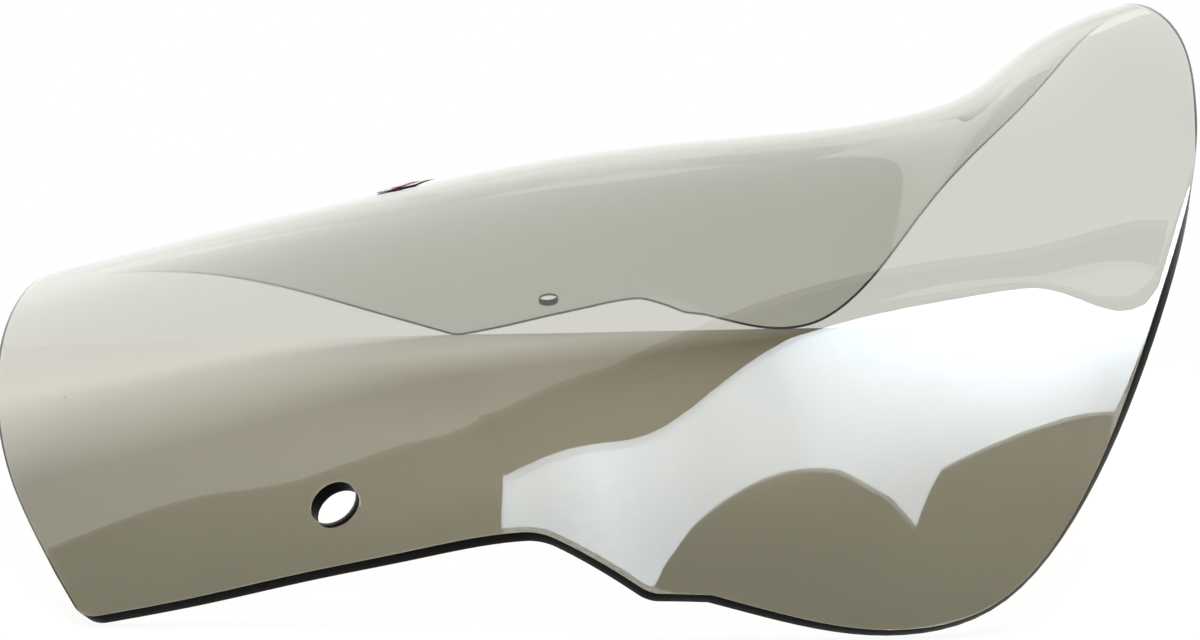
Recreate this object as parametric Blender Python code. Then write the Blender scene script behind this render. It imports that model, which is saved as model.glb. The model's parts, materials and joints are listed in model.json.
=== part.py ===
"""Windshield screen for a motorcycle: one thermoformed smoked sheet with a two-film label.

The sheet lies hollow side down on its two lower corners and its two hips. +X runs along its length
toward the flared upper end, Y runs across it, +Z is up, and the mirror plane is y = 0. The origin is
below the middle of the sheet, on the plane that it lies on.
"""

import math

import bmesh
import bpy
import numpy as np
from mathutils import Vector

MM = 0.001

# Sheet, all in millimetres
SHEET_THICKNESS = 4.8
HOLE_DIAMETER = 13.0
SEAT_DIAMETER = 24.0
HOLE_X = -40.5
HOLE_Y = 191.2

# Height of the inner face on the centre line, as (x, z) stations
CROWN = (
    (-238.0, 74.0),
    (-150.0, 92.0),
    (-75.0, 106.0),
    (0.0, 118.0),
    (70.0, 123.5),
    (130.0, 127.5),
    (160.0, 133.0),
    (185.0, 143.5),
    (210.0, 162.0),
    (238.0, 172.5),
)

# Fall of the cross-section at SAG_REACH from the centre line, as (x, fall) stations
SAG_REACH = 200.0
SAG = (
    (-238.0, 83.5),
    (-100.0, 91.5),
    (-72.0, 92.0),
    (-45.0, 91.5),
    (-15.0, 91.0),
    (15.0, 90.5),
    (50.0, 97.5),
    (100.0, 113.0),
    (145.0, 116.0),
    (172.0, 110.5),
    (198.0, 105.5),
    (212.0, 120.5),
    (226.0, 153.5),
    (238.0, 185.0),
)

# Share of that fall that grows with the fourth power of y in place of the square, as (x, share) stations
QUARTIC_SHARE = (
    (-238.0, -0.06),
    (40.0, -0.14),
    (120.0, -0.12),
    (180.0, 0.02),
    (238.0, 0.0),
)

# Half outline in plan, from the lower end's middle to the upper end's middle
LOWER_ARC = ((-237.1, 0.0), (-223.0, 56.5), (-187.0, 126.0), (-153.0, 169.2), (-121.0, 198.0))
LOWER_CORNER = (-107.0, 209.2)
LOWER_CORNER_RADIUS = 14.0
NOTCH = (19.0, 205.2)
NOTCH_RADIUS = 24.0
KINK = (47.0, 215.0)
KINK_RADIUS = 10.0
UPPER_ARC = (
    (62.0, 211.8),
    (111.0, 208.8),
    (137.0, 203.2),
    (160.0, 190.0),
    (181.0, 171.8),
    (198.5, 150.0),
    (217.0, 107.7),
    (229.8, 67.1),
    (233.6, 0.0),
)

# Label on the crown, lengths along X by widths along Y
LABEL_X = -70.0
LABEL_GROUND_SIZE = (18.0, 44.0)
LABEL_BAND_SIZE = (5.5, 40.0)
LABEL_FILM = 0.25
LABEL_CORNER_RADIUS = 1.6
CONTACT_GAP = 0.3

# From the stations' own origin to the middle of the sheet's length, on the plane that it lies on
ORIGIN_SHIFT = (2.22, 0.0, -1.77)

# Mesh density
ROWS = 14
LOWER_ARC_STEPS = 14
UPPER_ARC_STEPS = 22
SIDE_STEPS = 8
FLANK_STEPS = 2
FILLET_STEPS = 4
SPINE_START = -130.0
SPINE_END = 150.0
HOLE_BLOCK_COLUMNS = 2
LABEL_CELL = 2.0


def natural_spline(stations):
    """Return a smooth function through (position, value) stations."""
    x, y = np.array(stations).T
    h = np.diff(x)
    count = len(x)
    system = np.eye(count)
    right = np.zeros(count)
    for i in range(1, count - 1):
        system[i, i - 1:i + 2] = h[i - 1], 2.0 * (h[i - 1] + h[i]), h[i]
        right[i] = 6.0 * ((y[i + 1] - y[i]) / h[i] - (y[i] - y[i - 1]) / h[i - 1])
    bend = np.linalg.solve(system, right)

    def value(at):
        i = int(np.clip(np.searchsorted(x, at) - 1, 0, count - 2))
        a = x[i + 1] - at
        b = at - x[i]
        cubic = (bend[i] * a**3 + bend[i + 1] * b**3) / (6.0 * h[i])
        start = (y[i] / h[i] - bend[i] * h[i] / 6.0) * a
        end = (y[i + 1] / h[i] - bend[i + 1] * h[i] / 6.0) * b
        return cubic + start + end

    return value


crown_height = natural_spline(CROWN)
section_sag = natural_spline(SAG)
quartic_share = natural_spline(QUARTIC_SHARE)


def inner_point(x, y):
    """Return the point of the inner face above plan position (x, y)."""
    square = (y / SAG_REACH) ** 2
    share = quartic_share(x)
    fall = section_sag(x) * ((1.0 - share) * square + share * square**2)
    return Vector((x, y, crown_height(x) - fall))


def outward_normal(x, y):
    """Return the unit normal of the sheet at plan position (x, y), pointing out of the hollow."""
    step = 0.5
    along = inner_point(x + step, y) - inner_point(x - step, y)
    across = inner_point(x, y + step) - inner_point(x, y - step)
    return along.cross(across).normalized()


def smooth_path(points, steps):
    """Return evenly spaced plan points on a smooth curve through the given ones."""
    knots = np.array(points)
    reach = np.concatenate(([0.0], np.cumsum(np.linalg.norm(np.diff(knots, axis=0), axis=1))))
    path_x = natural_spline(np.column_stack((reach, knots[:, 0])))
    path_y = natural_spline(np.column_stack((reach, knots[:, 1])))
    return [(path_x(s), path_y(s)) for s in np.linspace(0.0, reach[-1], steps + 1)]


def mirrored(points):
    """Return plan points mirrored in y and reversed, so that a path crosses the centre line square."""
    return [(x, -y) for x, y in reversed(points)]


def fillet(before, corner, after, radius, steps):
    """Return plan points on an arc that rounds a corner between two straight runs."""
    corner = Vector(corner)
    to_before = (Vector(before) - corner).normalized()
    to_after = (Vector(after) - corner).normalized()
    half_angle = to_before.angle(to_after) / 2.0
    centre = corner + (to_before + to_after).normalized() * radius / math.sin(half_angle)
    start = (corner + to_before * radius / math.tan(half_angle) - centre).normalized()
    end = (corner + to_after * radius / math.tan(half_angle) - centre).normalized()
    return [tuple(centre + radius * start.slerp(end, k / steps)) for k in range(steps + 1)]


def straight(start, end, steps):
    """Return the plan points strictly between two points."""
    return [tuple(Vector(start).lerp(Vector(end), k / steps)) for k in range(1, steps)]


def half_outline():
    """Return the plan outline on the +Y side, from the lower end's middle to the upper end's middle."""
    lower = smooth_path(mirrored(LOWER_ARC[1:]) + list(LOWER_ARC), 2 * LOWER_ARC_STEPS)[LOWER_ARC_STEPS:]
    upper = smooth_path(list(UPPER_ARC) + mirrored(UPPER_ARC[:-1]), 2 * UPPER_ARC_STEPS)[:UPPER_ARC_STEPS + 1]
    corner = fillet(LOWER_ARC[-1], LOWER_CORNER, NOTCH, LOWER_CORNER_RADIUS, FILLET_STEPS)
    notch = fillet(LOWER_CORNER, NOTCH, KINK, NOTCH_RADIUS, FILLET_STEPS)
    kink = fillet(NOTCH, KINK, UPPER_ARC[0], KINK_RADIUS, FILLET_STEPS)
    side = straight(corner[-1], notch[0], SIDE_STEPS)
    flank = straight(notch[-1], kink[0], FLANK_STEPS)
    outline = lower + corner + side + notch + flank + kink + upper
    outline[0] = LOWER_ARC[0]
    outline[-1] = UPPER_ARC[-1]
    return outline


def material(name, colour, roughness, alpha=1.0, transmission=0.0):
    """Return a plain material with one Principled shader."""
    made = bpy.data.materials.new(name)
    made.use_nodes = True
    shader = made.node_tree.nodes["Principled BSDF"]
    shader.inputs["Base Color"].default_value = (*colour, 1.0)
    shader.inputs["Roughness"].default_value = roughness
    shader.inputs["Metallic"].default_value = 0.0
    shader.inputs["Alpha"].default_value = alpha
    shader.inputs["Transmission Weight"].default_value = transmission
    return made


def add_object(name, bm, surface):
    """Turn an edited mesh in millimetres into a smooth-shaded object in metres, moved to the part's origin."""
    bmesh.ops.translate(bm, vec=Vector(ORIGIN_SHIFT), verts=bm.verts)
    bmesh.ops.scale(bm, vec=Vector((MM, MM, MM)), verts=bm.verts)
    mesh = bpy.data.meshes.new(name)
    bm.to_mesh(mesh)
    bm.free()
    mesh.shade_smooth()
    mesh.materials.append(surface)
    made = bpy.data.objects.new(name, mesh)
    bpy.context.scene.collection.objects.link(made)
    return made


def thicken(piece, thickness):
    """Give a face its thickness on the outer side."""
    solidify = piece.modifiers.new("thickness", "SOLIDIFY")
    solidify.thickness = thickness * MM
    solidify.offset = 1.0
    solidify.use_even_offset = True


def pierce(bm, columns):
    """Open the mounting hole, with a flat ring round it, in place of the cells that hold it."""
    seat_centre = inner_point(HOLE_X, HOLE_Y)
    axis = outward_normal(HOLE_X, HOLE_Y)
    first = axis.cross(Vector((0.0, 1.0, 0.0))).normalized()
    second = axis.cross(first)

    middle = min(range(len(columns)), key=lambda k: abs(columns[k][-1].co.x - HOLE_X))
    block = columns[middle - HOLE_BLOCK_COLUMNS:middle + HOLE_BLOCK_COLUMNS + 1]
    inner_row, middle_row, rim_row = (ROWS - 2, ROWS - 1, ROWS)
    frame = [column[inner_row] for column in block]
    frame.append(block[-1][middle_row])
    frame += [column[rim_row] for column in reversed(block)]
    frame.append(block[0][middle_row])
    bmesh.ops.delete(bm, geom=[column[middle_row] for column in block[1:-1]], context="VERTS")

    bearings = []
    for vert in frame:
        offset = vert.co - seat_centre
        bearings.append(math.atan2(offset.dot(second), offset.dot(first)))
    rings = []
    for diameter in (SEAT_DIAMETER, HOLE_DIAMETER):
        ring = []
        for k, bearing in enumerate(bearings):
            turn = (bearings[(k + 1) % len(bearings)] - bearing + math.pi) % (2.0 * math.pi) - math.pi
            for angle in (bearing, bearing + turn / 2.0):
                spoke = first * math.cos(angle) + second * math.sin(angle)
                ring.append(bm.verts.new(seat_centre + spoke * diameter / 2.0))
        rings.append(ring)
    seat, hole = rings
    for k in range(len(frame)):
        near = seat[2 * k]
        between = seat[2 * k + 1]
        far = seat[(2 * k + 2) % len(seat)]
        bm.faces.new((frame[k], frame[(k + 1) % len(frame)], far, between, near))
    for k in range(len(seat)):
        after = (k + 1) % len(seat)
        bm.faces.new((seat[k], seat[after], hole[after], hole[k]))


def build_screen(surface):
    """Make the sheet: its +Y half on the inner face, mirrored, then thickened outward."""
    outline = half_outline()
    bm = bmesh.new()
    columns = []
    for k, (x, y) in enumerate(outline):
        root = SPINE_START + (SPINE_END - SPINE_START) * k / (len(outline) - 1)
        shares = [row / ROWS for row in range(ROWS + 1)]
        columns.append([bm.verts.new(inner_point(root + (x - root) * share, y * share)) for share in shares])
    for before, after in zip(columns, columns[1:]):
        for row in range(ROWS):
            bm.faces.new((before[row], after[row], after[row + 1], before[row + 1]))
    pierce(bm, columns)
    bmesh.ops.recalc_face_normals(bm, faces=bm.faces)
    screen = add_object("screen", bm, surface)
    mirror = screen.modifiers.new("other half", "MIRROR")
    mirror.use_axis = (False, True, False)
    mirror.merge_threshold = 0.0001
    thicken(screen, SHEET_THICKNESS)
    return screen


def build_film(name, size, lift, surface):
    """Make a thin film with rounded corners that follows the outer face of the crown.

    Lift is the film's clear height above that face.
    """
    length, width = size
    bm = bmesh.new()
    cells_x = round(length / LABEL_CELL)
    cells_y = round(width / LABEL_CELL)
    bmesh.ops.create_grid(bm, x_segments=cells_x, y_segments=cells_y, size=0.5)
    bmesh.ops.scale(bm, vec=Vector((length, width, 1.0)), verts=bm.verts)
    corners = [vert for vert in bm.verts if len(vert.link_edges) == 2]
    bmesh.ops.bevel(bm, geom=corners, offset=LABEL_CORNER_RADIUS, segments=3, profile=0.5, affect="VERTICES")
    for vert in bm.verts:
        x = LABEL_X + vert.co.x
        y = vert.co.y
        vert.co = inner_point(x, y) + outward_normal(x, y) * (SHEET_THICKNESS + lift)
    bmesh.ops.recalc_face_normals(bm, faces=bm.faces)
    film = add_object(name, bm, surface)
    thicken(film, LABEL_FILM)
    return film


for leftover in list(bpy.data.objects):
    bpy.data.objects.remove(leftover, do_unlink=True)

smoked_sheet = material("smoked sheet", (0.30, 0.30, 0.27), 0.04, alpha=0.5, transmission=1.0)
black_film = material("black film", (0.015, 0.015, 0.017), 0.3)
red_film = material("red film", (0.60, 0.05, 0.10), 0.3)

build_screen(smoked_sheet)
build_film("label_ground", LABEL_GROUND_SIZE, CONTACT_GAP, black_film)
build_film("label_band", LABEL_BAND_SIZE, CONTACT_GAP + LABEL_FILM + CONTACT_GAP, red_film)
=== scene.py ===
"""Looks of the windshield screen: a polished, smoked sheet with a plain label, lit in a small studio."""

from __future__ import annotations

import json
import logging
import math
from collections.abc import Callable, Sequence
from dataclasses import dataclass
from enum import Enum

import bmesh
import bpy
import numpy as np
from mathutils import Matrix, Vector

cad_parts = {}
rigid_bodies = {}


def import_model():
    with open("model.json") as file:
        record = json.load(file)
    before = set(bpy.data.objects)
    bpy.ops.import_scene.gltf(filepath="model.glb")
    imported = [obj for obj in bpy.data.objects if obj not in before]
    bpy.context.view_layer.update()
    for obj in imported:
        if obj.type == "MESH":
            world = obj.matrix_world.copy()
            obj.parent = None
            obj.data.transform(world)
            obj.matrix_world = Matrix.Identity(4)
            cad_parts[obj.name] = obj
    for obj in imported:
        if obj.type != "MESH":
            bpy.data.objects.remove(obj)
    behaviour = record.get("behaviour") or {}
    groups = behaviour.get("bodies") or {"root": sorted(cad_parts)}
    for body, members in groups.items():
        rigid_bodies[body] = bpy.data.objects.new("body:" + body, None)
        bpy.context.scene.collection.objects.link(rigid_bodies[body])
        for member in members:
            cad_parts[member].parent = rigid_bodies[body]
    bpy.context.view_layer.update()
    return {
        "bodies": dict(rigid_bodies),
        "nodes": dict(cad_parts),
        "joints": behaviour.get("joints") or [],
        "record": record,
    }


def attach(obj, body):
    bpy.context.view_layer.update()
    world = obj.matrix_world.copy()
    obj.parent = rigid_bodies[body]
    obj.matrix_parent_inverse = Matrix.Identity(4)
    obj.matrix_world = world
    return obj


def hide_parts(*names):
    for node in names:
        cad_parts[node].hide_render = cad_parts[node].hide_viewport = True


MM = 0.001
LOG = logging.getLogger("windshield")
MIX_COLOUR_A = 6
MIX_COLOUR_B = 7
MIX_COLOUR_RESULT = 2

Plan = tuple[float, float]
Space = tuple[float, float, float]
Setting = float | Sequence[float]
Curve = Callable[[float], float]
Socket = bpy.types.NodeSocket
ShaderNode = bpy.types.Node
Tree = bpy.types.NodeTree


class Node(Enum):
    """Names of the solids that the frame holds."""

    SCREEN = "screen"
    LABEL_GROUND = "label_ground"
    LABEL_BAND = "label_band"


class Slot(Enum):
    """Names of the record's material slots."""

    SMOKED_SHEET = "smoked_sheet"


def natural_spline(stations: Sequence[Plan]) -> Curve:
    """Make a smooth function through stations.

    Args:
        stations: Pairs of position and value, in order of position.

    Returns:
        A function that gives the value at a position.
    """
    x, y = np.array(stations).T
    h = np.diff(x)
    count = len(x)
    system = np.eye(count)
    right = np.zeros(count)
    for i in range(1, count - 1):
        system[i, i - 1:i + 2] = h[i - 1], 2.0 * (h[i - 1] + h[i]), h[i]
        right[i] = 6.0 * ((y[i + 1] - y[i]) / h[i] - (y[i] - y[i - 1]) / h[i - 1])
    bend = np.linalg.solve(system, right)

    def value(at: float) -> float:
        """Work out the curve at one position.

        Args:
            at: The position.

        Returns:
            The value there.
        """
        i = np.clip(np.searchsorted(x, at) - 1, 0, count - 2)
        a = x[i + 1] - at
        b = at - x[i]
        cubic = (bend[i] * a**3 + bend[i + 1] * b**3) / (6.0 * h[i])
        start = (y[i] / h[i] - bend[i] * h[i] / 6.0) * a
        end = (y[i + 1] / h[i] - bend[i + 1] * h[i] / 6.0) * b
        return cubic + start + end

    return value


def deselect_all() -> None:
    """Clear the selection, so that an operator acts on one piece only."""
    bpy.ops.object.select_all(action="DESELECT")


def make_active(piece: bpy.types.Object) -> None:
    """Select one piece alone and make it active.

    Args:
        piece: The piece.
    """
    deselect_all()
    piece.select_set(True)
    bpy.context.view_layer.objects.active = piece


def apply_modifiers(piece: bpy.types.Object) -> None:
    """Apply every modifier of a piece in order.

    Args:
        piece: The piece.
    """
    make_active(piece)
    for modifier in list(piece.modifiers):
        bpy.ops.object.modifier_apply(modifier=modifier.name)


@dataclass(frozen=True)
class SheetForm:
    """Form of the moulded sheet, in millimetres: its inner face and its plan outline.

    Attributes:
        thickness: Thickness of the sheet, square to its face.
        hole_diameter: Diameter of each mounting hole.
        hole_x: Place of the holes along the sheet.
        hole_y: Distance of each hole from the middle line.
        sag_reach: Distance from the middle line at which the sag is stated.
        crown: Height of the inner face on the middle line, at stations along X.
        sag: Fall of the inner face at that distance, at stations along X.
        quartic_share: Share of the fall that grows with the fourth power of Y, at stations along X.
        lower_arc: Places on the lower end's edge, from its middle out.
        lower_corner: Sharp corner between the lower end and the side.
        lower_corner_radius: Radius that rounds it.
        notch: Sharp corner where the side turns out to the upper end.
        notch_radius: Radius that rounds it.
        kink: Sharp corner at the foot of the upper end.
        kink_radius: Radius that rounds it.
        origin_shift: Move that centres the sheet and sets it on the floor.
        upper_arc: Places on the upper end's edge, from the kink to its middle.
    """

    thickness: float = 4.8
    hole_diameter: float = 13.0
    hole_x: float = -40.5
    hole_y: float = 191.2
    sag_reach: float = 200.0
    crown: tuple[Plan, ...] = (
        (-238.0, 74.0),
        (-150.0, 92.0),
        (-75.0, 106.0),
        (0.0, 118.0),
        (70.0, 123.5),
        (130.0, 127.5),
        (160.0, 133.0),
        (185.0, 143.5),
        (210.0, 162.0),
        (238.0, 172.5),
    )
    sag: tuple[Plan, ...] = (
        (-238.0, 83.5),
        (-100.0, 91.5),
        (-72.0, 92.0),
        (-45.0, 91.5),
        (-15.0, 91.0),
        (15.0, 90.5),
        (50.0, 97.5),
        (100.0, 113.0),
        (145.0, 116.0),
        (172.0, 110.5),
        (198.0, 105.5),
        (212.0, 120.5),
        (226.0, 153.5),
        (238.0, 185.0),
    )
    quartic_share: tuple[Plan, ...] = (
        (-238.0, -0.06),
        (40.0, -0.14),
        (120.0, -0.12),
        (180.0, 0.02),
        (238.0, 0.0),
    )
    lower_arc: tuple[Plan, ...] = (
        (-237.1, 0.0),
        (-223.0, 56.5),
        (-187.0, 126.0),
        (-153.0, 169.2),
        (-121.0, 198.0),
    )
    lower_corner: Plan = (-107.0, 209.2)
    lower_corner_radius: float = 14.0
    notch: Plan = (19.0, 205.2)
    notch_radius: float = 24.0
    kink: Plan = (47.0, 215.0)
    kink_radius: float = 10.0
    origin_shift: Space = (2.22, 0.0, -1.77)
    upper_arc: tuple[Plan, ...] = (
        (62.0, 211.8),
        (111.0, 208.8),
        (137.0, 203.2),
        (160.0, 190.0),
        (181.0, 171.8),
        (198.5, 150.0),
        (217.0, 107.7),
        (229.8, 67.1),
        (233.6, 0.0),
    )


@dataclass
class ScreenSheet:
    """The moulded sheet with its two holes, as a fine smooth mesh.

    Attributes:
        form: Sizes of the sheet.
        rows: Cells from the middle line to the rim.
        arc_steps: Cells along each end's half arc.
        side_steps: Cells along the straight side.
        fillet_steps: Cells round each rounded corner.
        lead_steps: Cells between an end's arc and the next rounded corner.
        spine: Where the first and the last column start on the middle line, in millimetres.
        guard: Width of the narrow cells beside each edge, in millimetres.
        edge_round: Radius of the polished edges, in millimetres.
        edge_segments: Cells across each rounded edge.
        edge_angle: Angle between faces from which their edge is rounded, in degrees.
        hole_columns: Columns that the hole takes up on each side of it.
        hole_rows: First and last row of the cells that it takes up.
        hole_rings: Rings of cells between those rows and the hole.
        normal_step: Half the distance over which the face's slope is taken, in millimetres.
        merge_reach: Distance within which the two halves join, in millimetres.
    """

    form: SheetForm
    rows: int = 56
    arc_steps: int = 70
    side_steps: int = 44
    fillet_steps: int = 10
    lead_steps: int = 4
    spine: Plan = (-130.0, 150.0)
    guard: float = 1.4
    edge_round: float = 0.2
    edge_segments: int = 3
    edge_angle: float = 50.0
    hole_columns: int = 6
    hole_rows: tuple[int, int] = (47, 55)
    hole_rings: int = 5
    normal_step: float = 0.5
    merge_reach: float = 0.05

    def __post_init__(self) -> None:
        """Prepare the three functions that give the inner face."""
        self.crown_height = natural_spline(self.form.crown)
        self.section_sag = natural_spline(self.form.sag)
        self.quartic_share = natural_spline(self.form.quartic_share)

    def inner_point(self, x: float, y: float) -> Vector:
        """Find the point of the inner face above a plan position.

        Args:
            x: Place along the sheet, in millimetres.
            y: Place across it, in millimetres.

        Returns:
            The point, in millimetres.
        """
        square = (y / self.form.sag_reach) ** 2
        share = self.quartic_share(x)
        fall = self.section_sag(x) * ((1.0 - share) * square + share * square**2)
        return Vector((x, y, float(self.crown_height(x) - fall)))

    def outward_normal(self, x: float, y: float) -> Vector:
        """Find the sheet's normal at a plan position.

        Args:
            x: Place along the sheet, in millimetres.
            y: Place across it, in millimetres.

        Returns:
            The unit normal, pointing out of the hollow.
        """
        step = self.normal_step
        along = self.inner_point(x + step, y) - self.inner_point(x - step, y)
        across = self.inner_point(x, y + step) - self.inner_point(x, y - step)
        return along.cross(across).normalized()

    @staticmethod
    def smooth_path(points: Sequence[Plan], steps: int) -> list[Plan]:
        """Draw a smooth curve through plan points.

        Args:
            points: Points that the curve passes through, in order.
            steps: Cells along the curve.

        Returns:
            Evenly spaced points on the curve.
        """
        knots = np.array(points)
        reach = np.concatenate(([0.0], np.cumsum(np.linalg.norm(np.diff(knots, axis=0), axis=1))))
        path_x = natural_spline(np.column_stack((reach, knots[:, 0])))
        path_y = natural_spline(np.column_stack((reach, knots[:, 1])))
        return [(float(path_x(s)), float(path_y(s))) for s in np.linspace(0.0, reach[-1], steps + 1)]

    @staticmethod
    def mirrored(points: Sequence[Plan]) -> list[Plan]:
        """Return plan points mirrored in y and reversed."""
        return [(x, -y) for x, y in reversed(points)]

    @staticmethod
    def fillet(before: Plan, corner: Plan, after: Plan, radius: float, steps: int) -> list[Plan]:
        """Round a corner between two straight runs.

        Args:
            before: Plan point on the run into the corner.
            corner: The sharp corner.
            after: Plan point on the run out of it.
            radius: Radius of the arc.
            steps: Cells along the arc.

        Returns:
            Plan points along the arc.
        """
        tip = Vector(corner)
        to_before = (Vector(before) - tip).normalized()
        to_after = (Vector(after) - tip).normalized()
        half_angle = to_before.angle(to_after) / 2.0
        centre = tip + (to_before + to_after).normalized() * radius / math.sin(half_angle)
        start = (tip + to_before * radius / math.tan(half_angle) - centre).normalized()
        end = (tip + to_after * radius / math.tan(half_angle) - centre).normalized()
        return [tuple(centre + radius * start.slerp(end, k / steps)) for k in range(steps + 1)]

    @staticmethod
    def straight(start: Plan, end: Plan, steps: int) -> list[Plan]:
        """Return the plan points strictly between two points."""
        return [tuple(Vector(start).lerp(Vector(end), k / steps)) for k in range(1, steps)]

    def half_outline(self) -> list[Plan]:
        """Draw the plan outline of the +Y half.

        Returns:
            Its points, from the lower end's middle to the upper end's.
        """
        form = self.form
        steps = self.arc_steps
        lower_end = self.mirrored(form.lower_arc[1:]) + list(form.lower_arc)
        lower = self.smooth_path(lower_end, 2 * steps)[steps:]
        upper_end = list(form.upper_arc) + self.mirrored(form.upper_arc[:-1])
        upper = self.smooth_path(upper_end, 2 * steps)[:steps + 1]
        corner = self.fillet(
            form.lower_arc[-1], form.lower_corner, form.notch, form.lower_corner_radius, self.fillet_steps
        )
        notch = self.fillet(form.lower_corner, form.notch, form.kink, form.notch_radius, self.fillet_steps)
        kink = self.fillet(form.notch, form.kink, form.upper_arc[0], form.kink_radius, self.fillet_steps)
        side = self.straight(corner[-1], notch[0], self.side_steps)
        flank = self.straight(notch[-1], kink[0], self.fillet_steps)
        lead = self.straight(lower[-1], corner[0], self.lead_steps)
        tail = self.straight(kink[-1], upper[0], self.lead_steps)
        outline = lower + lead + corner + side + notch + flank + kink + tail + upper
        outline[0] = form.lower_arc[0]
        outline[-1] = form.upper_arc[-1]
        return outline

    def column(self, bm: bmesh.types.BMesh, root: float, rim: Plan) -> list[bmesh.types.BMVert]:
        """Lay one line of points from the middle line to the rim, ending in a narrow cell.

        Args:
            bm: The half sheet.
            root: Where the line starts on the middle line.
            rim: Plan point where it ends.

        Returns:
            The points, from the middle line out.
        """
        ray = Vector(rim) - Vector((root, 0.0))
        shares = [row / self.rows for row in range(self.rows)]
        shares.append(1.0 - self.guard / ray.length)
        shares.append(1.0)
        return [bm.verts.new(self.inner_point(root + ray.x * share, ray.y * share)) for share in shares]

    def pierce(self, bm: bmesh.types.BMesh, columns: list[list[bmesh.types.BMVert]]) -> None:
        """Open the round hole in place of the cells that hold it.

        Args:
            bm: The half sheet.
            columns: Its lines of points.
        """
        form = self.form
        centre = self.inner_point(form.hole_x, form.hole_y)
        axis = self.outward_normal(form.hole_x, form.hole_y)
        first = axis.cross(Vector((0.0, 1.0, 0.0))).normalized()
        second = axis.cross(first)

        low, high = self.hole_rows
        middle = min(range(len(columns)), key=lambda k: (columns[k][(low + high) // 2].co - centre).length)
        block = columns[middle - self.hole_columns:middle + self.hole_columns + 1]
        frame = [line[low] for line in block]
        frame += [block[-1][row] for row in range(low + 1, high)]
        frame += [line[high] for line in reversed(block)]
        frame += [block[0][row] for row in range(high - 1, low, -1)]
        inside = [line[row] for line in block[1:-1] for row in range(low + 1, high)]
        bmesh.ops.delete(bm, geom=inside, context="VERTS")

        radius = form.hole_diameter / 2.0
        rings = [frame]
        stops = [k / self.hole_rings for k in range(1, self.hole_rings)]
        for stop in stops + [None, 1.0]:
            ring = []
            for vert in frame:
                offset = vert.co - centre
                bearing = math.atan2(offset.dot(second), offset.dot(first))
                spoke = first * math.cos(bearing) + second * math.sin(bearing)
                edge = centre + spoke * radius
                if stop is None:
                    spot = centre + spoke * (radius + self.guard)
                else:
                    spot = vert.co.lerp(edge, stop)
                ring.append(bm.verts.new(self.inner_point(spot.x, spot.y)))
            rings.append(ring)
        for outer, inner in zip(rings, rings[1:]):
            for k in range(len(outer)):
                after = (k + 1) % len(outer)
                bm.faces.new((outer[k], outer[after], inner[after], inner[k]))

    def build(self, wear: Tree) -> bpy.types.Object:
        """Model the whole sheet.

        Args:
            wear: The group of handling marks.

        Returns:
            The finished piece, in metres at its place.
        """
        outline = self.half_outline()
        start, end = self.spine
        bm = bmesh.new()
        columns = []
        for k, rim in enumerate(outline):
            columns.append(self.column(bm, start + (end - start) * k / (len(outline) - 1), rim))
        for before, after in zip(columns, columns[1:]):
            for row in range(self.rows + 1):
                bm.faces.new((before[row], after[row], after[row + 1], before[row + 1]))
        self.pierce(bm, columns)
        bmesh.ops.recalc_face_normals(bm, faces=bm.faces)
        bmesh.ops.translate(bm, vec=Vector(self.form.origin_shift), verts=bm.verts)
        bmesh.ops.scale(bm, vec=Vector((MM, MM, MM)), verts=bm.verts)
        mesh = bpy.data.meshes.new("smoked_screen_sheet")
        bm.to_mesh(mesh)
        bm.free()
        piece = bpy.data.objects.new("smoked_screen_sheet", mesh)
        bpy.context.scene.collection.objects.link(piece)
        self.dress(piece, wear)
        self.finish_edges(piece)
        return piece

    def dress(self, piece: bpy.types.Object, wear: Tree) -> None:
        """Give the sheet its clear faces and its rim, painted near-black as painted shade."""
        piece.data.materials.append(SmokedSheetFinish().material(wear))
        piece.data.materials.append(RimPaintedShade().material())

    def finish_edges(self, piece: bpy.types.Object) -> None:
        """Mirror the half, give it its thickness and round the polished edges.

        Args:
            piece: The half sheet's inner face.
        """
        mirror = piece.modifiers.new("other half", "MIRROR")
        mirror.use_axis = (False, True, False)
        mirror.merge_threshold = self.merge_reach * MM
        solidify = piece.modifiers.new("thickness", "SOLIDIFY")
        solidify.thickness = self.form.thickness * MM
        solidify.offset = 1.0
        solidify.use_even_offset = True
        # the rim faces take the second material, the near-black painted shade
        solidify.material_offset_rim = 1
        bevel = piece.modifiers.new("polished edge", "BEVEL")
        bevel.width = self.edge_round * MM
        bevel.segments = self.edge_segments
        bevel.limit_method = "ANGLE"
        bevel.angle_limit = math.radians(self.edge_angle)
        apply_modifiers(piece)
        bpy.ops.object.shade_smooth()


def maths(tree: Tree, operation: str, *inputs: float | Socket) -> Socket:
    """Add a Math node.

    Args:
        tree: The tree that gets it.
        operation: What it works out.
        inputs: Its inputs in order, each a number or a socket to link.

    Returns:
        The socket of its result.
    """
    node = tree.nodes.new("ShaderNodeMath")
    node.operation = operation
    for socket, value in zip(node.inputs, inputs):
        if isinstance(value, Socket):
            tree.links.new(value, socket)
        else:
            socket.default_value = value
    return node.outputs[0]


def mix_shaders(tree: Tree, factor: Socket, first: ShaderNode, second: ShaderNode) -> ShaderNode:
    """Add a Mix Shader node.

    Args:
        tree: The tree that gets it.
        factor: Share of the second shader.
        first: The shader at a share of 0.
        second: The shader at a share of 1.

    Returns:
        The node.
    """
    node = tree.nodes.new("ShaderNodeMixShader")
    tree.links.new(factor, node.inputs[0])
    tree.links.new(first.outputs[0], node.inputs[1])
    tree.links.new(second.outputs[0], node.inputs[2])
    return node


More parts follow.
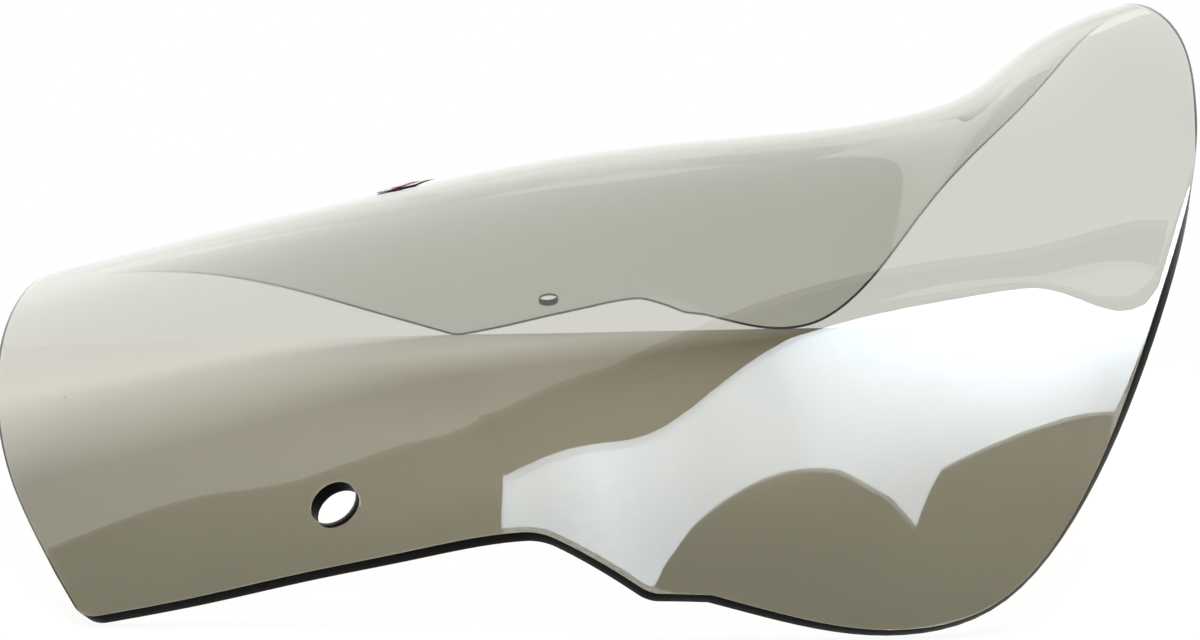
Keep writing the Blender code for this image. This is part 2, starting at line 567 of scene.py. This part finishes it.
class Shader:
    """A material's node tree with short ways to add and join nodes."""

    def __init__(self, name: str) -> None:
        """Start an empty material.

        Args:
            name: Name of the material.
        """
        self.material = bpy.data.materials.new(name)
        self.material.use_nodes = True
        self.tree = self.material.node_tree
        self.tree.nodes.clear()
        self.output = self.tree.nodes.new("ShaderNodeOutputMaterial")

    @staticmethod
    def fill(node: ShaderNode, values: dict[str, Setting]) -> None:
        """Set a node's input sockets by name, with underscores for spaces."""
        for key, value in values.items():
            node.inputs[key.replace("_", " ")].default_value = value

    def add(self, kind: str, **values: Setting) -> ShaderNode:
        """Add a node.

        Args:
            kind: Blender's name for its kind.
            values: Values of its input sockets by name, with underscores for spaces.

        Returns:
            The node.
        """
        node = self.tree.nodes.new(kind)
        self.fill(node, values)
        return node

    def join(self, source: Socket, target: Socket) -> None:
        """Link two sockets."""
        self.tree.links.new(source, target)

    def show(self, surface: ShaderNode) -> None:
        """Make a shader the material's surface."""
        self.join(surface.outputs[0], self.output.inputs["Surface"])

    def show_only_to(self, rays: Socket, surface: ShaderNode) -> None:
        """Show a shader to some rays and stay clear to all others.

        Args:
            rays: A socket that is 1 for the rays that meet the shader.
            surface: The shader.
        """
        clear = self.add("ShaderNodeBsdfTransparent")
        self.show(mix_shaders(self.tree, rays, clear, surface))

    def place(self) -> Socket:
        """Return the piece's own coordinates."""
        return self.add("ShaderNodeTexCoord").outputs["Object"]

    def along(self, axis: Space) -> Socket:
        """Measure the piece's own coordinates along an axis.

        Args:
            axis: The direction, whose length sets the unit.

        Returns:
            The socket of the measure.
        """
        node = self.add("ShaderNodeVectorMath")
        node.operation = "DOT_PRODUCT"
        node.inputs[1].default_value = axis
        self.join(self.place(), node.inputs[0])
        return node.outputs["Value"]

    def ramp(self, source: Socket, ends: Plan, levels: Plan) -> Socket:
        """Add a straight ramp that stays level beyond its ends.

        Args:
            source: The value that runs along the ramp.
            ends: Where the ramp starts and ends.
            levels: What it gives there.

        Returns:
            The socket of the ramp's value.
        """
        node = self.add(
            "ShaderNodeMapRange",
            From_Min=ends[0],
            From_Max=ends[1],
            To_Min=levels[0],
            To_Max=levels[1],
        )
        self.join(source, node.inputs["Value"])
        return node.outputs[0]

    def marks(self, wear: Tree, **values: float) -> ShaderNode:
        """Place the shared handling marks on the piece's own coordinates.

        Args:
            wear: The group of handling marks.
            values: Values of its inputs by name, with underscores for spaces.

        Returns:
            The group's node.
        """
        node = self.add("ShaderNodeGroup")
        node.node_tree = wear
        self.fill(node, values)
        self.join(self.place(), node.inputs["Vector"])
        return node


@dataclass(frozen=True)
class HandlingMarks:
    """Smudges, hairlines and dust on a polished surface, as one node group that the finishes share.

    Attributes:
        inputs: Names of the group's values, with what each is unless a finish sets it.
        smudge_scale: Scale of the noise behind the smudges.
        smudge_detail: Detail of that noise.
        smudge_floor: Level of that noise above which a smudge shows.
        hairline_stretch: Scale of the noise behind the hairlines, along each axis.
        hairline_turn: Turn of the hairlines about each axis, in radians.
        hairline_detail: Detail of that noise.
        hairline_floor: Level of that noise above which a hairline shows.
        dust_scale: Scale of the cells that each hold one grain at most.
        dust_reach: Largest radius of a grain, as a share of the cells' unit.
        dust_floor: Level of a cell's own value above which it holds a grain.
    """

    inputs: tuple[tuple[str, float], ...] = (
        ("Base Roughness", 0.03),
        ("Smudge", 0.05),
        ("Scratch", 0.1),
        ("Fleck", 0.0),
        ("Scale", 1.0),
    )
    smudge_scale: float = 14.0
    smudge_detail: float = 4.0
    smudge_floor: float = 0.55
    hairline_stretch: Space = (14.0, 900.0, 300.0)
    hairline_turn: Space = (0.2, 0.1, 0.35)
    hairline_detail: float = 2.0
    hairline_floor: float = 0.76
    dust_scale: float = 42.0
    dust_reach: float = 0.018
    dust_floor: float = 0.45

    @staticmethod
    def above(group: Tree, value: Socket, floor: float | Socket) -> Socket:
        """Return how far a value lies above a floor, and 0 below it."""
        return maths(group, "MAXIMUM", maths(group, "SUBTRACT", value, floor), 0.0)

    def group(self) -> Tree:
        """Build the node group.

        Returns:
            A group with a roughness and a height that change over the surface.
        """
        group = bpy.data.node_groups.new("handling marks", "ShaderNodeTree")
        nodes = group.nodes
        link = group.links.new
        interface = group.interface
        for name, value in self.inputs:
            socket = interface.new_socket(name, in_out="INPUT", socket_type="NodeSocketFloat")
            socket.default_value = value
        interface.new_socket("Vector", in_out="INPUT", socket_type="NodeSocketVector")
        interface.new_socket("Roughness", in_out="OUTPUT", socket_type="NodeSocketFloat")
        interface.new_socket("Height", in_out="OUTPUT", socket_type="NodeSocketFloat")

        source = nodes.new("NodeGroupInput").outputs
        scaled = nodes.new("ShaderNodeVectorMath")
        scaled.operation = "SCALE"
        link(source["Vector"], scaled.inputs[0])
        link(source["Scale"], scaled.inputs["Scale"])

        cloud = nodes.new("ShaderNodeTexNoise")
        cloud.inputs["Scale"].default_value = self.smudge_scale
        cloud.inputs["Detail"].default_value = self.smudge_detail
        link(scaled.outputs[0], cloud.inputs["Vector"])
        patch = self.above(group, cloud.outputs[0], self.smudge_floor)
        smudge = maths(group, "MULTIPLY", patch, source["Smudge"])

        stretch = nodes.new("ShaderNodeMapping")
        stretch.inputs["Scale"].default_value = self.hairline_stretch
        stretch.inputs["Rotation"].default_value = self.hairline_turn
        link(scaled.outputs[0], stretch.inputs["Vector"])
        hair = nodes.new("ShaderNodeTexNoise")
        hair.inputs["Scale"].default_value = 1.0
        hair.inputs["Detail"].default_value = self.hairline_detail
        link(stretch.outputs[0], hair.inputs["Vector"])
        line = self.above(group, hair.outputs[0], self.hairline_floor)
        scratch = maths(group, "MULTIPLY", line, source["Scratch"])

        cells = nodes.new("ShaderNodeTexVoronoi")
        cells.inputs["Scale"].default_value = self.dust_scale
        link(scaled.outputs[0], cells.inputs["Vector"])
        chosen = nodes.new("ShaderNodeSeparateColor")
        link(cells.outputs["Color"], chosen.inputs[0])
        reach = maths(group, "MULTIPLY", chosen.outputs[1], self.dust_reach)
        near = self.above(group, reach, cells.outputs["Distance"])
        held = maths(group, "GREATER_THAN", chosen.outputs[0], self.dust_floor)
        dust = maths(group, "MULTIPLY", held, near)
        fleck = maths(group, "MULTIPLY", dust, source["Fleck"])

        target = nodes.new("NodeGroupOutput").inputs
        wear = maths(group, "ADD", smudge, scratch)
        link(maths(group, "ADD", source["Base Roughness"], wear), target["Roughness"])
        link(maths(group, "ADD", scratch, fleck), target["Height"])
        return group


@dataclass(frozen=True)
class SmokedSheetFinish:
    """Polished, smoke-tinted transparent plastic.

    Attributes:
        tint: Colour that the body of the sheet lets through.
        density: Strength of that tint, per metre.
        ior: Index of refraction.
        roughness: Roughness of the clean surface.
        smudge: Strength of the smudges.
        scratch: Strength of the hairlines.
        fleck: Strength of the dust.
        bump_strength: Share of the marks' height that shows.
        bump_height: Height of a mark of strength 1, in metres.
        shadow_tint: Colour that the sheet lets through into its shadow.
    """

    tint: Space = (0.30, 0.295, 0.16)
    density: float = 120.0
    ior: float = 1.57
    roughness: float = 0.012
    smudge: float = 0.10
    scratch: float = 0.08
    fleck: float = 40.0
    bump_strength: float = 0.5
    bump_height: float = 0.0004
    shadow_tint: Space = (0.93, 0.93, 0.93)

    def material(self, wear: Tree) -> bpy.types.Material:
        """Build the material.

        Args:
            wear: The group of handling marks.

        Returns:
            The finished material.
        """
        shader = Shader("smoked sheet")
        body = shader.add(
            "ShaderNodeBsdfPrincipled",
            Base_Color=(1.0, 1.0, 1.0, 1.0),
            Roughness=self.roughness,
            IOR=self.ior,
            Transmission_Weight=1.0,
        )
        marks = shader.marks(
            wear,
            Base_Roughness=self.roughness,
            Smudge=self.smudge,
            Scratch=self.scratch,
            Fleck=self.fleck,
        )
        shader.join(marks.outputs["Roughness"], body.inputs["Roughness"])
        bump = shader.add("ShaderNodeBump", Strength=self.bump_strength, Distance=self.bump_height)
        shader.join(marks.outputs["Height"], bump.inputs["Height"])
        shader.join(bump.outputs[0], body.inputs["Normal"])
        through = shader.add("ShaderNodeBsdfTransparent", Color=(*self.shadow_tint, 1.0))
        path = shader.add("ShaderNodeLightPath")
        shader.show(mix_shaders(shader.tree, path.outputs["Is Shadow Ray"], body, through))
        smoke = shader.add("ShaderNodeVolumeAbsorption", Color=(*self.tint, 1.0), Density=self.density)
        shader.join(smoke.outputs[0], shader.output.inputs["Volume"])
        return shader.material


@dataclass(frozen=True)
class RimPaintedShade:
    """Polished edge of the sheet, painted near-black: painted shade that stands in for the light lost along
    the sheet's width.

    Attributes:
        colour: Colour of the edge, a near-black painted shade.
        roughness: Its roughness.
        specular: Strength of its mirror image.
    """

    colour: Space = (0.002, 0.002, 0.002)
    roughness: float = 0.35
    specular: float = 0.03

    def material(self) -> bpy.types.Material:
        """Build the material.

        Returns:
            The finished material.
        """
        shader = Shader("painted shade rim")
        body = shader.add(
            "ShaderNodeBsdfPrincipled",
            Base_Color=(*self.colour, 1.0),
            Roughness=self.roughness,
            Specular_IOR_Level=self.specular,
        )
        shader.show(body)
        return shader.material


@dataclass(frozen=True)
class FilmFinish:
    """Glossy vinyl film of the label, with a pale keyline.

    Attributes:
        name: Name of the material.
        colour: Colour of the film.
        keyline: Colour of the line inside its edge.
        half_size: Half length and half width of the keyline's outer edge, in millimetres.
        line: Width of the keyline, in millimetres.
        centre_x: Place of the film's middle, in millimetres.
        roughness: Roughness of the clean film.
        ior: Index of refraction.
        smudge: Strength of the smudges.
        scratch: Strength of the hairlines.
        mark_scale: How much finer the marks are than on the sheet.
    """

    name: str
    colour: Space
    keyline: Space
    half_size: Plan
    line: float
    centre_x: float = -67.8
    roughness: float = 0.22
    ior: float = 1.5
    smudge: float = 0.4
    scratch: float = 0.8
    mark_scale: float = 4.0

    def material(self, wear: Tree) -> bpy.types.Material:
        """Build the material.

        Args:
            wear: The group of handling marks.

        Returns:
            The finished material.
        """
        shader = Shader(self.name)
        body = shader.add("ShaderNodeBsdfPrincipled", Roughness=self.roughness, IOR=self.ior)
        centre = shader.add("ShaderNodeMapping", Location=(-self.centre_x * MM, 0.0, 0.0))
        shader.join(shader.place(), centre.inputs["Vector"])
        size = shader.add("ShaderNodeVectorMath")
        size.operation = "ABSOLUTE"
        shader.join(centre.outputs[0], size.inputs[0])
        split = shader.add("ShaderNodeSeparateXYZ")
        shader.join(size.outputs[0], split.inputs[0])
        inside = []
        for inset in (0.0, self.line):
            tests = [
                maths(shader.tree, "LESS_THAN", split.outputs[axis], (half - inset) * MM)
                for axis, half in zip(("X", "Y"), self.half_size)
            ]
            inside.append(maths(shader.tree, "MULTIPLY", *tests))
        ring = maths(shader.tree, "SUBTRACT", *inside)
        paint = shader.add("ShaderNodeMix")
        paint.data_type = "RGBA"
        paint.inputs[MIX_COLOUR_A].default_value = (*self.colour, 1.0)
        paint.inputs[MIX_COLOUR_B].default_value = (*self.keyline, 1.0)
        shader.join(ring, paint.inputs[0])
        shader.join(paint.outputs[MIX_COLOUR_RESULT], body.inputs["Base Color"])
        marks = shader.marks(
            wear,
            Base_Roughness=self.roughness,
            Smudge=self.smudge,
            Scratch=self.scratch,
            Scale=self.mark_scale,
        )
        shader.join(marks.outputs["Roughness"], body.inputs["Roughness"])
        shader.show(body)
        return shader.material


@dataclass(frozen=True)
class PhotoCamera:
    """The camera, at the viewing angle of the photograph.

    Attributes:
        place: Where it stands, in millimetres.
        forward: The way it looks.
        up: Its upward direction.
        lens: Focal length, in millimetres.
        frame_width: Width of the frame behind the lens, in millimetres.
        near_limit: Distance from which it sees, in metres.
    """

    place: Space = (65.1, -450.0, 124.7)
    forward: Space = (-0.1058, 0.9794, -0.1721)
    up: Space = (0.0172, 0.1749, 0.9844)
    lens: float = 30.0
    frame_width: float = 36.0
    near_limit: float = 0.01

    def build(self) -> bpy.types.Object:
        """Create the camera and make it the scene's own.

        Returns:
            The camera.
        """
        data = bpy.data.cameras.new("photo camera")
        data.lens = self.lens
        data.sensor_width = self.frame_width
        data.clip_start = self.near_limit
        camera = bpy.data.objects.new("photo camera", data)
        bpy.context.scene.collection.objects.link(camera)
        ahead = Vector(self.forward).normalized()
        right = ahead.cross(Vector(self.up)).normalized()
        upward = right.cross(ahead)
        turn = Matrix((right, upward, -ahead)).transposed().to_4x4()
        camera.matrix_world = Matrix.Translation(Vector(self.place) * MM) @ turn
        bpy.context.scene.camera = camera
        return camera


@dataclass(frozen=True)
class Studio:
    """Table, backdrop and lamps round the object, in metres.

    Attributes:
        table_back: Where the table's far edge lies.
        table_reach: How far the table runs to the front and the sides.
        table_colour: Its colour near the camera.
        table_white: Brightness of the white that the camera sees instead.
        table_white_share: Share of that white in what the camera sees.
        table_mirror_share: Share of it in what reflections see.
        table_painted_light_axis: Direction in which the table's painted light grows. Where it is missing,
            under the sheet, the table shows a painted shadow of the sheet.
        table_painted_light_ramp: Where that painted light starts and ends, along that direction.
        table_painted_light: Brightness of that painted light at its end.
        far_edge_painted_light_axis: Direction in which the painted light by the far edge grows.
        far_edge_painted_light_ramp: Where that painted light starts and ends, along that direction.
        far_edge_painted_light: Brightness of that painted light at its end.
        panel_height: Height of the overhead soft panel.
        panel_corners: Its corners in plan, from the near left one round by the right.
        panel_glow: Its brightness at the far side.
        panel_dim: Share of that brightness left at the near side.
        panel_colour: Colour of its light.
        ceiling_height: Height of the white ceiling sheet behind the panel.
        ceiling_corners: Its corners in plan.
        ceiling_glow: Its brightness in reflections, at the near and at the far end of its ramp.
        ceiling_ramp: Where that ramp starts and ends, along Y.
        backdrop_glow: Brightness of the backdrop in reflections.
        flag_height: Height of the black flag over the sheet's near wall.
        flag_near: Stations of the flag's edge on the camera's side, as X and Y.
        flag_far: Stations of its edge on the far side.
        flag_steps: Steps in which each edge is drawn.
        scrim_height: Height of the grey scrim under the flag.
        scrim_corners: The scrim's outline.
        scrim_axis: Direction along which the scrim changes.
        scrim_reach: Distance along that axis, each way from the middle, over which it changes.
        scrim_clear: Stops of the light that passes, as a share of that reach and a share of the light.
        backdrop_edge: Where reflections find the backdrop, as a share of +Y in their direction.
        front_glow: Brightness of the room in front of it, in reflections.
        room_glow: Brightness of the surroundings that light the object.
    """

    table_back: float = 0.212
    table_reach: float = 1.6
    table_colour: Space = (0.475, 0.41, 0.316)
    table_white: float = 1.17
    table_white_share: float = 0.8
    table_mirror_share: float = 0.45
    table_painted_light_axis: Space = (-1.5, 1.0, 0.0)
    table_painted_light_ramp: Plan = (0.2, 0.52)
    table_painted_light: float = 0.73
    far_edge_painted_light_axis: Space = (-0.5, 1.0, 0.0)
    far_edge_painted_light_ramp: Plan = (0.12, 0.2)
    far_edge_painted_light: float = 0.36
    panel_height: float = 0.67
    panel_corners: tuple[Plan, ...] = (
        (-0.21, -0.315),
        (0.06, -0.36),
        (0.17, -0.38),
        (0.24, -0.44),
        (0.25, -0.39),
        (0.29, -0.32),
        (0.345, -0.265),
        (0.345, -0.11),
        (0.03, -0.115),
        (-0.21, -0.155),
    )
    panel_glow: float = 15.5
    panel_dim: float = 0.75
    panel_colour: Space = (0.80, 0.88, 1.0)
    ceiling_height: float = 0.70
    ceiling_corners: tuple[Plan, ...] = (
        (-3.0, -0.95),
        (-0.73, -0.225),
        (-0.60, -0.185),
        (-0.44, -0.17),
        (-0.28, -0.13),
        (0.25, -0.08),
        (1.5, 0.1),
        (1.5, 4.0),
        (-3.0, 4.0),
    )
    ceiling_glow: Plan = (1.15, 1.5)
    ceiling_ramp: Plan = (0.2, 1.2)
    backdrop_glow: float = 1.45
    flag_height: float = 0.14
    flag_near: tuple[Plan, ...] = (
        (-0.025, -0.20),
        (0.04, -0.19),
        (0.08, -0.175),
        (0.10, -0.15),
        (0.12, -0.132),
        (0.15, -0.135),
        (0.165, -0.155),
    )
    flag_far: tuple[Plan, ...] = (
        (-0.04, -0.17),
        (0.03, -0.158),
        (0.09, -0.127),
        (0.12, -0.115),
        (0.145, -0.118),
        (0.185, -0.145),
    )
    flag_steps: int = 32
    scrim_height: float = 0.138
    scrim_corners: tuple[Plan, ...] = (
        (-0.03, -0.30),
        (0.20, -0.30),
        (0.20, -0.13),
        (0.12, -0.124),
        (0.05, -0.17),
        (-0.03, -0.185),
    )
    scrim_axis: Space = (1.0, 0.5, 0.0)
    scrim_reach: float = 0.1
    scrim_clear: tuple[Plan, ...] = (
        (0.0, 0.5),
        (0.2, 0.62),
        (0.5, 0.48),
        (0.63, 0.53),
        (0.77, 1.0),
    )
    backdrop_edge: Plan = (0.2, 0.3)
    front_glow: float = 0.12
    room_glow: float = 0.2

    def world(self) -> None:
        """Make the surroundings: white to the camera, and a white backdrop behind the object otherwise."""
        world = bpy.data.worlds.new("white room")
        bpy.context.scene.world = world
        world.use_nodes = True
        tree = world.node_tree
        tree.nodes.clear()
        output = tree.nodes.new("ShaderNodeOutputWorld")

        def background(strength: float) -> ShaderNode:
            """Add a white background.

            Args:
                strength: Its brightness.

            Returns:
                The node.
            """
            node = tree.nodes.new("ShaderNodeBackground")
            node.inputs["Color"].default_value = (1.0, 1.0, 1.0, 1.0)
            node.inputs["Strength"].default_value = strength
            return node

        white = background(1.0)
        place = tree.nodes.new("ShaderNodeTexCoord")
        facing = tree.nodes.new("ShaderNodeSeparateXYZ")
        tree.links.new(place.outputs["Generated"], facing.inputs[0])
        edge = tree.nodes.new("ShaderNodeMapRange")
        edge.interpolation_type = "SMOOTHSTEP"
        edge.inputs["From Min"].default_value, edge.inputs["From Max"].default_value = self.backdrop_edge
        tree.links.new(facing.outputs["Y"], edge.inputs["Value"])
        path = tree.nodes.new("ShaderNodeLightPath")
        rays = path.outputs
        backdrop = mix_shaders(tree, rays["Is Reflection Ray"], white, background(self.backdrop_glow))
        around = mix_shaders(tree, edge.outputs[0], background(self.front_glow), backdrop)
        indoors = mix_shaders(tree, rays["Is Diffuse Ray"], around, background(self.room_glow))
        final = mix_shaders(tree, rays["Is Camera Ray"], indoors, white)
        tree.links.new(final.outputs[0], output.inputs["Surface"])

    def slab(self, name: str, plan: Sequence[Plan], height: float, shader: Shader) -> None:
        """Make a level stage piece.

        Args:
            name: Name of the piece.
            plan: Its corners in order.
            height: Its height.
            shader: Its look.
        """
        mesh = bpy.data.meshes.new(name)
        corners = [(*corner, height) for corner in plan]
        mesh.from_pydata(corners, [], [tuple(range(len(corners)))])
        mesh.materials.append(shader.material)
        piece = bpy.data.objects.new(name, mesh)
        bpy.context.scene.collection.objects.link(piece)

    def table(self) -> None:
        """Lay the pale table, lighter toward its far left through painted light: an emission ramp that
        leaves it darker under the sheet, as a painted shadow of the sheet.
        """
        shader = Shader("pale table")
        tree = shader.tree
        matt = shader.add("ShaderNodeBsdfDiffuse", Color=(*self.table_colour, 1.0))
        # painted light: emission that grows toward the far left and near the far edge; without it, the table
        # under the sheet shows a painted shadow of the sheet
        near = shader.ramp(shader.along(self.table_painted_light_axis), self.table_painted_light_ramp, (0.0, self.table_painted_light))
        far = shader.ramp(shader.along(self.far_edge_painted_light_axis), self.far_edge_painted_light_ramp, (0.0, self.far_edge_painted_light))
        painted_light_glow = shader.add("ShaderNodeEmission")
        shader.join(maths(tree, "MAXIMUM", near, far), painted_light_glow.inputs["Strength"])
        lamp_lit_and_painted = shader.add("ShaderNodeAddShader")
        shader.join(matt.outputs[0], lamp_lit_and_painted.inputs[0])
        shader.join(painted_light_glow.outputs[0], lamp_lit_and_painted.inputs[1])
        white = shader.add("ShaderNodeEmission", Strength=self.table_white)
        rays = shader.add("ShaderNodeLightPath").outputs
        mirrored = maths(tree, "MULTIPLY", rays["Is Reflection Ray"], self.table_mirror_share)
        share = maths(tree, "MULTIPLY_ADD", rays["Is Camera Ray"], self.table_white_share, mirrored)
        shader.show(mix_shaders(tree, share, lamp_lit_and_painted, white))
        reach = self.table_reach
        back = self.table_back
        self.slab("table", ((-reach, -reach), (reach, -reach), (reach, back), (-reach, back)), 0.0, shader)

    def panel(self) -> None:
        """Hang the glowing soft panel that lights the object from above, dimmer toward the camera."""
        shader = Shader("soft panel")
        place = shader.add("ShaderNodeTexCoord")
        split = shader.add("ShaderNodeSeparateXYZ")
        shader.join(place.outputs["Generated"], split.inputs[0])
        levels = (self.panel_glow * self.panel_dim, self.panel_glow)
        glow = shader.add("ShaderNodeEmission", Color=(*self.panel_colour, 1.0))
        shader.join(shader.ramp(split.outputs["Y"], (0.0, 1.0), levels), glow.inputs["Strength"])
        shader.show(glow)
        self.slab("soft panel", self.panel_corners, self.panel_height, shader)

    def ceiling(self) -> None:
        """Hang the white ceiling sheet that only mirrored and bent rays meet."""
        shader = Shader("white ceiling")
        split = shader.add("ShaderNodeSeparateXYZ")
        shader.join(shader.place(), split.inputs[0])
        glow = shader.add("ShaderNodeEmission")
        brightness = shader.ramp(split.outputs["Y"], self.ceiling_ramp, self.ceiling_glow)
        shader.join(brightness, glow.inputs["Strength"])
        rays = shader.add("ShaderNodeLightPath").outputs
        either = maths(shader.tree, "MAXIMUM", rays["Is Glossy Ray"], rays["Is Transmission Ray"])
        shader.show_only_to(either, glow)
        self.slab("ceiling", self.ceiling_corners, self.ceiling_height, shader)

    def flag_edge(self, stations: Sequence[Plan]) -> list[Plan]:
        """Draw one smooth edge of the flag.

        Args:
            stations: Places that the edge passes through, in order of X.

        Returns:
            Points along the edge.
        """
        line = natural_spline(stations)
        start, end = stations[0][0], stations[-1][0]
        places = [start + (end - start) * k / self.flag_steps for k in range(self.flag_steps + 1)]
        return [(x, float(line(x))) for x in places]

    def flag(self) -> None:
        """Hold the black flag that parts panel from ceiling, for mirrored and bent rays only."""
        shader = Shader("black flag")
        black = shader.add("ShaderNodeEmission", Strength=0.0)
        path = shader.add("ShaderNodeLightPath")
        shader.show_only_to(path.outputs["Is Glossy Ray"], black)
        outline = self.flag_edge(self.flag_near) + self.flag_edge(self.flag_far)[::-1]
        self.slab("black flag", outline, self.flag_height, shader)

    def scrim(self) -> None:
        """Hold the grey scrim that dims the left of the panel, for mirrored and bent rays only."""
        shader = Shader("grey scrim")
        ends = (-self.scrim_reach, self.scrim_reach)
        share_along = shader.ramp(shader.along(self.scrim_axis), ends, (0.0, 1.0))
        ramp = shader.add("ShaderNodeValToRGB")
        stops = ramp.color_ramp.elements
        while len(stops) < len(self.scrim_clear):
            stops.new(1.0)
        for stop, (share, light) in zip(stops, self.scrim_clear):
            stop.position = share
            stop.color = (light, light, light, 1.0)
        shader.join(share_along, ramp.inputs[0])
        grey = shader.add("ShaderNodeBsdfTransparent")
        shader.join(ramp.outputs[0], grey.inputs["Color"])
        path = shader.add("ShaderNodeLightPath")
        shader.show_only_to(path.outputs["Is Glossy Ray"], grey)
        self.slab("grey scrim", self.scrim_corners, self.scrim_height, shader)

    def build(self) -> None:
        """Set up the whole studio."""
        bpy.context.scene.view_settings.view_transform = "Standard"
        self.world()
        self.table()
        self.panel()
        self.ceiling()
        self.flag()
        self.scrim()


def main() -> None:
    """Build the looks round the frame and report each piece."""
    logging.basicConfig(level=logging.INFO)
    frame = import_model()
    wear = HandlingMarks().group()

    sheet = ScreenSheet(SheetForm()).build(wear)
    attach(sheet, "root")
    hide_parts(Node.SCREEN.value)
    LOG.info("%s: %d faces", sheet.name, len(sheet.data.polygons))

    films = {
        Node.LABEL_GROUND: FilmFinish(
            name="black film",
            colour=(0.012, 0.012, 0.014),
            keyline=(0.75, 0.75, 0.76),
            half_size=(8.0, 21.0),
            line=0.7,
        ),
        Node.LABEL_BAND: FilmFinish(
            name="red film",
            colour=(0.70, 0.13, 0.22),
            keyline=(0.90, 0.55, 0.62),
            half_size=(2.4, 19.5),
            line=0.6,
        ),
    }
    for node, finish in films.items():
        film = frame["nodes"][node.value]
        film.data.materials.clear()
        film.data.materials.append(finish.material(wear))
        LOG.info("%s: dressed", film.name)

    Studio().build()
    PhotoCamera().build()


if __name__ == "__main__":
    main()
